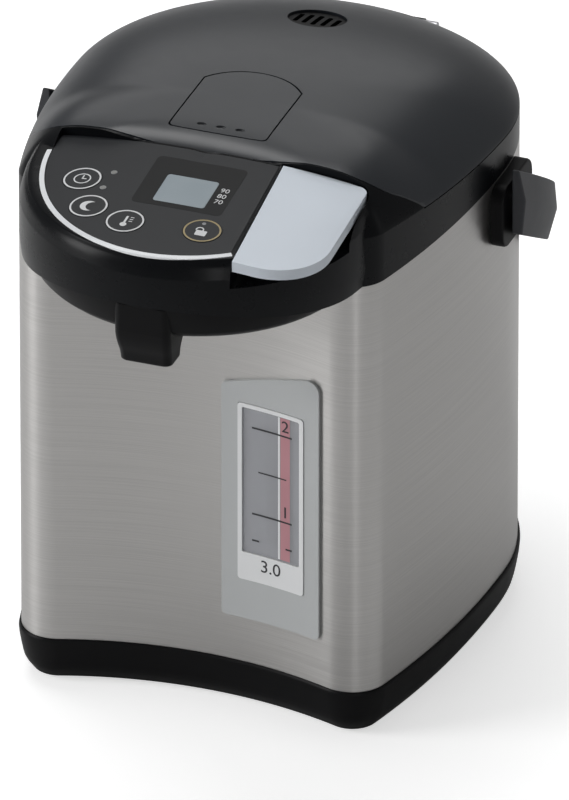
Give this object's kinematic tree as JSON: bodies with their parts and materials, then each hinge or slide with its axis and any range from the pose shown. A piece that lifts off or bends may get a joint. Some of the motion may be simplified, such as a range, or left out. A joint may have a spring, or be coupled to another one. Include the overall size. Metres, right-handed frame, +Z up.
{
  "type": "electric thermo pot",
  "caption": "Countertop hot water dispenser with a domed hinged lid, front panel, pump, dispensing lever, spout and folding carry handle.",
  "frame": {"origin": "centre of the footprint of the whole model's box, on the surface it stands on", "axes": "+Z up; the panel and the spout face -Y; +X is the side of the dispensing lever"},
  "size_m": [0.231, 0.3159, 0.276],
  "materials": {
    "steel": "brushed",
    "black_gloss": "glossy",
    "lid_gloss": "glossy",
    "black_satin": "satin",
    "panel_dark": "satin",
    "strip_white": "glossy",
    "silver_paint": "satin",
    "lcd_glass": "clear",
    "gauge_grey": "satin",
    "gauge_white": "satin",
    "clear_glass": "clear",
    "scale_print": "satin",
    "stainless": "polished",
    "rubber_dark": "matte",
    "silicone": "matte",
    "board_green": "satin",
    "lamp": "clear",
    "heater": "cast",
    "pump_plastic": "satin",
    "impeller_blue": "satin",
    "motor_steel": "zinc plated",
    "handle_grey": "satin"
  },
  "bodies": {
    "pot": {"outer_shell": "steel", "base_ring": "black_satin", "bottom_cover": "black_satin", "foot_pads": "rubber_dark", "bottom_screws": "motor_steel", "top_housing": "black_gloss", "chin_housing": "black_satin", "spout": "black_satin", "nozzle_tube": "silicone", "outlet_hose": "silicone", "control_panel": "panel_dark", "accent_strip": "strip_white", "lcd_window": "lcd_glass", "lcd_module": "pump_plastic", "control_board": "board_green", "indicator_lights": "lamp", "dispense_pin": "motor_steel", "dispense_spring": "motor_steel", "dispense_switch": "black_satin", "gauge_plate": "gauge_grey", "gauge_frame": "gauge_white", "gauge_window": "clear_glass", "gauge_scale": "scale_print", "level_tube": "clear_glass", "inner_pot": "stainless", "heat_shield": "motor_steel", "heater_plate": "heater", "thermistor": "motor_steel", "pump_housing": "pump_plastic", "drive_motor": "motor_steel", "pump_hose": "silicone", "drain_stub": "silicone", "power_board": "board_green", "power_inlet": "black_satin", "hinge_pin": "motor_steel", "handle_ear_left": "black_satin", "handle_ear_right": "black_satin", "handle_pin_left": "motor_steel", "handle_pin_right": "motor_steel"},
    "lid": {"lid_cover": "lid_gloss", "lid_pan": "black_satin", "inner_lid": "stainless", "lid_gasket": "silicone", "steam_vent": "black_satin", "steam_trap": "black_satin", "lever_pin": "motor_steel", "latch_spring": "motor_steel"},
    "lid_lever": {"lid_lever": "lid_gloss"},
    "latch": {"latch_slider": "pump_plastic"},
    "lever": {"dispense_lever": "silver_paint"},
    "key_timer": {"key_timer": "panel_dark"},
    "key_saving": {"key_saving": "panel_dark"},
    "key_temp": {"key_temp": "panel_dark"},
    "key_unlock": {"key_unlock": "panel_dark"},
    "handle": {"handle": "handle_grey"},
    "rotor": {"motor_rotor": "motor_steel"},
    "impeller": {"pump_impeller": "impeller_blue"}
  },
  "joints": [
    {"name": "lid_hinge", "type": "hinge", "parent": "pot", "child": "lid", "pos_m": [0, 0.12751, 0.241], "axis": [-1, 0, 0], "range_deg": [0, 80]},
    {"name": "lid_lever_lift", "type": "hinge", "parent": "lid", "child": "lid_lever", "pos_m": [0, -0.0085, 0.2728], "axis": [-1, 0, 0], "range_deg": [0, 18], "stiffness_Nm_per_rad": 0.05, "springref_deg": -17.19},
    {"name": "latch_slide", "type": "slide", "parent": "lid", "child": "latch", "axis": [0, 1, 0], "range_m": [0, 0.005], "deforming": ["latch_spring"]},
    {"name": "dispense_press", "type": "hinge", "parent": "pot", "child": "lever", "pos_m": [0.056, -0.07749, 0.262], "axis": [1, 0, 0], "range_deg": [0, 4], "stiffness_Nm_per_rad": 0.6, "springref_deg": -8.59, "deforming": ["dispense_spring"]},
    {"name": "key_timer_press", "type": "slide", "parent": "pot", "child": "key_timer", "axis": [0, 0, -1], "range_m": [0, 0.0006], "stiffness_N_per_m": 400, "springref_m": -0.0005},
    {"name": "key_saving_press", "type": "slide", "parent": "pot", "child": "key_saving", "axis": [0, 0, -1], "range_m": [0, 0.0006], "stiffness_N_per_m": 400, "springref_m": -0.0005},
    {"name": "key_temp_press", "type": "slide", "parent": "pot", "child": "key_temp", "axis": [0, 0, -1], "range_m": [0, 0.0006], "stiffness_N_per_m": 400, "springref_m": -0.0005},
    {"name": "key_unlock_press", "type": "slide", "parent": "pot", "child": "key_unlock", "axis": [0, 0, -1], "range_m": [0, 0.0006], "stiffness_N_per_m": 400, "springref_m": -0.0005},
    {"name": "handle_swing", "type": "hinge", "parent": "pot", "child": "handle", "pos_m": [0, 0.03651, 0.212], "axis": [1, 0, 0], "range_deg": [0, 121]},
    {"name": "motor_spin", "type": "hinge", "parent": "pot", "child": "rotor", "pos_m": [0.02, -0.02849, 0.025], "axis": [0, 0, 1], "continuous": true},
    {"name": "impeller_spin", "type": "hinge", "parent": "pot", "child": "impeller", "pos_m": [0.02, -0.02849, 0.033], "axis": [0, 0, 1], "continuous": true}
  ],
  "couplings": [
    {"joint": "latch_slide", "follows": "lid_lever_lift", "m_per_rad": 0.0159},
    {"joint": "impeller_spin", "follows": "motor_spin", "ratio": 1}
  ]
}
